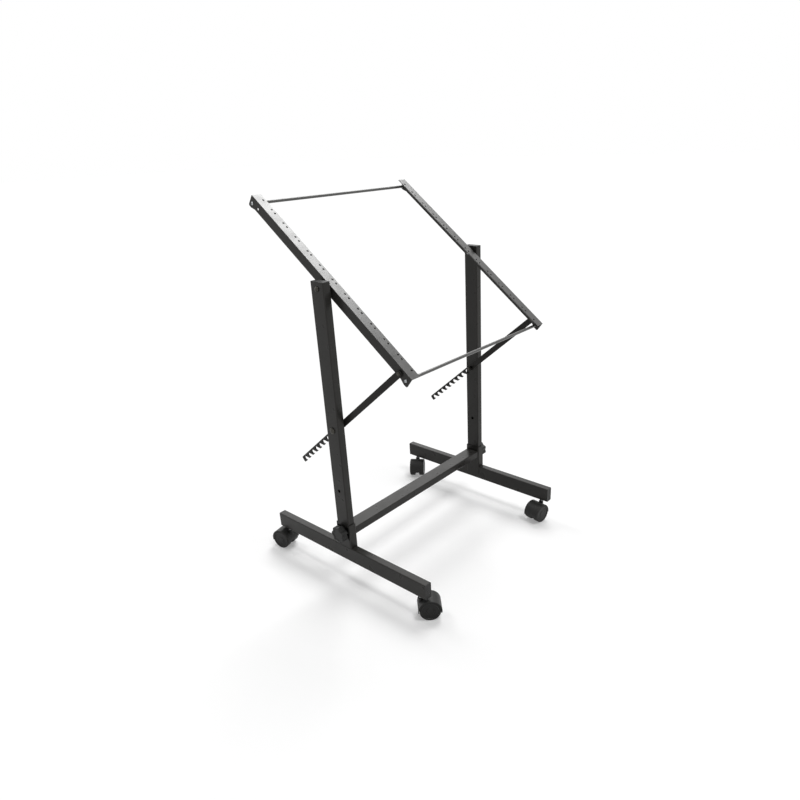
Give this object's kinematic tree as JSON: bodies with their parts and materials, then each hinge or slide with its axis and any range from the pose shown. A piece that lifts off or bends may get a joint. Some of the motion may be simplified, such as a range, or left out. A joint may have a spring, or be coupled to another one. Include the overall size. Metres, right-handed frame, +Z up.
{
  "type": "studio rack stand",
  "caption": "Rolling floor stand for studio rack gear: a tilting open frame of punched rails between posts, held by notched support arms on pins, on a bolted base with swivel casters.",
  "frame": {"origin": "on the floor, midway between the left and right feet and between the front and rear casters", "axes": "+Z is up, +X is the user's right, and the user stands at -Y, where the rack's face looks"},
  "size_m": [0.5948, 0.5713, 0.915],
  "materials": {
    "powder_coated_steel": "satin black powder coat on steel tube",
    "powder_coated_rail": "satin black powder coat on folded and flat steel",
    "blackened_steel": "black finished steel fasteners with a slight shine",
    "zinc_plated_steel": "bright zinc plate",
    "moulded_plastic": "black moulded plastic with a fine texture",
    "wheel_nylon": "black nylon wheels with a smooth tread"
  },
  "bodies": {
    "base": {"foot_left": "powder_coated_steel", "foot_right": "powder_coated_steel", "foot_cap_front_left": "moulded_plastic", "foot_cap_front_right": "moulded_plastic", "foot_cap_rear_left": "moulded_plastic", "foot_cap_rear_right": "moulded_plastic", "upright_left": "powder_coated_steel", "upright_right": "powder_coated_steel", "upright_cap_left": "moulded_plastic", "upright_cap_right": "moulded_plastic", "lip_screw_left": "blackened_steel", "lip_screw_right": "blackened_steel", "foot_bracket_left": "powder_coated_steel", "foot_bracket_right": "powder_coated_steel", "pivot_bolt_left": "blackened_steel", "pivot_bolt_right": "blackened_steel", "pivot_spacer_left": "moulded_plastic", "pivot_spacer_right": "moulded_plastic", "pivot_nut_left": "zinc_plated_steel", "pivot_nut_right": "zinc_plated_steel", "support_pin_left": "blackened_steel", "support_pin_right": "blackened_steel", "crossbar": "powder_coated_steel", "crossbar_end_left": "powder_coated_steel", "crossbar_end_right": "powder_coated_steel", "caster_stem_front_left": "zinc_plated_steel", "caster_stem_front_right": "zinc_plated_steel", "caster_stem_rear_left": "zinc_plated_steel", "caster_stem_rear_right": "zinc_plated_steel"},
    "rack_frame": {"rail_left": "powder_coated_rail", "rail_right": "powder_coated_rail", "top_tie_rod": "powder_coated_rail", "bottom_tie_rod": "powder_coated_rail", "top_rod_screw_left": "zinc_plated_steel", "top_rod_screw_right": "zinc_plated_steel", "bottom_rod_screw_left": "zinc_plated_steel", "bottom_rod_screw_right": "zinc_plated_steel", "arm_rivet_left": "blackened_steel", "arm_rivet_right": "blackened_steel"},
    "support_arm_left": {"support_arm_left": "powder_coated_rail"},
    "support_arm_right": {"support_arm_right": "powder_coated_rail"},
    "clamp_knob_left": {"clamp_knob_left": "moulded_plastic"},
    "clamp_knob_right": {"clamp_knob_right": "moulded_plastic"},
    "caster_front_left": {"caster_hood_front_left": "moulded_plastic", "caster_axle_front_left": "zinc_plated_steel"},
    "caster_front_right": {"caster_hood_front_right": "moulded_plastic", "caster_axle_front_right": "zinc_plated_steel"},
    "caster_rear_left": {"caster_hood_rear_left": "moulded_plastic", "caster_axle_rear_left": "zinc_plated_steel"},
    "caster_rear_right": {"caster_hood_rear_right": "moulded_plastic", "caster_axle_rear_right": "zinc_plated_steel"},
    "wheel_a_front_left": {"caster_wheel_a_front_left": "wheel_nylon"},
    "wheel_b_front_left": {"caster_wheel_b_front_left": "wheel_nylon"},
    "wheel_a_front_right": {"caster_wheel_a_front_right": "wheel_nylon"},
    "wheel_b_front_right": {"caster_wheel_b_front_right": "wheel_nylon"},
    "wheel_a_rear_left": {"caster_wheel_a_rear_left": "wheel_nylon"},
    "wheel_b_rear_left": {"caster_wheel_b_rear_left": "wheel_nylon"},
    "wheel_a_rear_right": {"caster_wheel_a_rear_right": "wheel_nylon"},
    "wheel_b_rear_right": {"caster_wheel_b_rear_right": "wheel_nylon"}
  },
  "joints": [
    {"name": "rack_tilt", "type": "hinge", "parent": "base", "child": "rack_frame", "pos_m": [0, 0, 0.737], "axis": [1, 0, 0], "range_deg": [-48.6, 32.2]},
    {"name": "arm_left_follow", "type": "hinge", "parent": "rack_frame", "child": "support_arm_left", "pos_m": [-0.253, -0.19732, 0.58346], "axis": [1, 0, 0], "range_deg": [-22.5, 33.5]},
    {"name": "arm_right_follow", "type": "hinge", "parent": "rack_frame", "child": "support_arm_right", "pos_m": [0.253, -0.19732, 0.58346], "axis": [1, 0, 0], "range_deg": [-22.5, 33.5]},
    {"name": "clamp_knob_left_turn", "type": "hinge", "parent": "base", "child": "clamp_knob_left", "pos_m": [-0.276, 0, 0.142], "axis": [-1, 0, 0], "continuous": true},
    {"name": "clamp_knob_right_turn", "type": "hinge", "parent": "base", "child": "clamp_knob_right", "pos_m": [0.276, 0, 0.142], "axis": [1, 0, 0], "continuous": true},
    {"name": "caster_front_left_swivel", "type": "hinge", "parent": "base", "child": "caster_front_left", "pos_m": [-0.266, -0.235, 0.05], "axis": [0, 0, 1], "continuous": true},
    {"name": "caster_front_right_swivel", "type": "hinge", "parent": "base", "child": "caster_front_right", "pos_m": [0.266, -0.235, 0.05], "axis": [0, 0, 1], "continuous": true},
    {"name": "caster_rear_left_swivel", "type": "hinge", "parent": "base", "child": "caster_rear_left", "pos_m": [-0.266, 0.235, 0.05], "axis": [0, 0, 1], "continuous": true},
    {"name": "caster_rear_right_swivel", "type": "hinge", "parent": "base", "child": "caster_rear_right", "pos_m": [0.266, 0.235, 0.05], "axis": [0, 0, 1], "continuous": true},
    {"name": "wheel_a_front_left_roll", "type": "hinge", "parent": "caster_front_left", "child": "wheel_a_front_left", "pos_m": [-0.25186, -0.24914, 0.025], "axis": [0.7071, 0.7071, 0], "continuous": true},
    {"name": "wheel_b_front_left_roll", "type": "hinge", "parent": "caster_front_left", "child": "wheel_b_front_left", "pos_m": [-0.25186, -0.24914, 0.025], "axis": [0.7071, 0.7071, 0], "continuous": true},
    {"name": "wheel_a_front_right_roll", "type": "hinge", "parent": "caster_front_right", "child": "wheel_a_front_right", "pos_m": [0.24619, -0.23222, 0.025], "axis": [-0.1392, -0.9903, 0], "continuous": true},
    {"name": "wheel_b_front_right_roll", "type": "hinge", "parent": "caster_front_right", "child": "wheel_b_front_right", "pos_m": [0.24619, -0.23222, 0.025], "axis": [-0.1392, -0.9903, 0], "continuous": true},
    {"name": "wheel_a_rear_left_roll", "type": "hinge", "parent": "caster_rear_left", "child": "wheel_a_rear_left", "pos_m": [-0.27016, 0.25456, 0.025], "axis": [-0.9781, -0.2079, 0], "continuous": true},
    {"name": "wheel_b_rear_left_roll", "type": "hinge", "parent": "caster_rear_left", "child": "wheel_b_rear_left", "pos_m": [-0.27016, 0.25456, 0.025], "axis": [-0.9781, -0.2079, 0], "continuous": true},
    {"name": "wheel_a_rear_right_roll", "type": "hinge", "parent": "caster_rear_right", "child": "wheel_a_rear_right", "pos_m": [0.24962, 0.22353, 0.025], "axis": [0.5736, -0.8192, 0], "continuous": true},
    {"name": "wheel_b_rear_right_roll", "type": "hinge", "parent": "caster_rear_right", "child": "wheel_b_rear_right", "pos_m": [0.24962, 0.22353, 0.025], "axis": [0.5736, -0.8192, 0], "continuous": true}
  ],
  "couplings": [
    {"joint": "arm_left_follow", "follows": "rack_tilt", "ratio": -0.67496},
    {"joint": "arm_right_follow", "follows": "rack_tilt", "ratio": -0.67496}
  ]
}
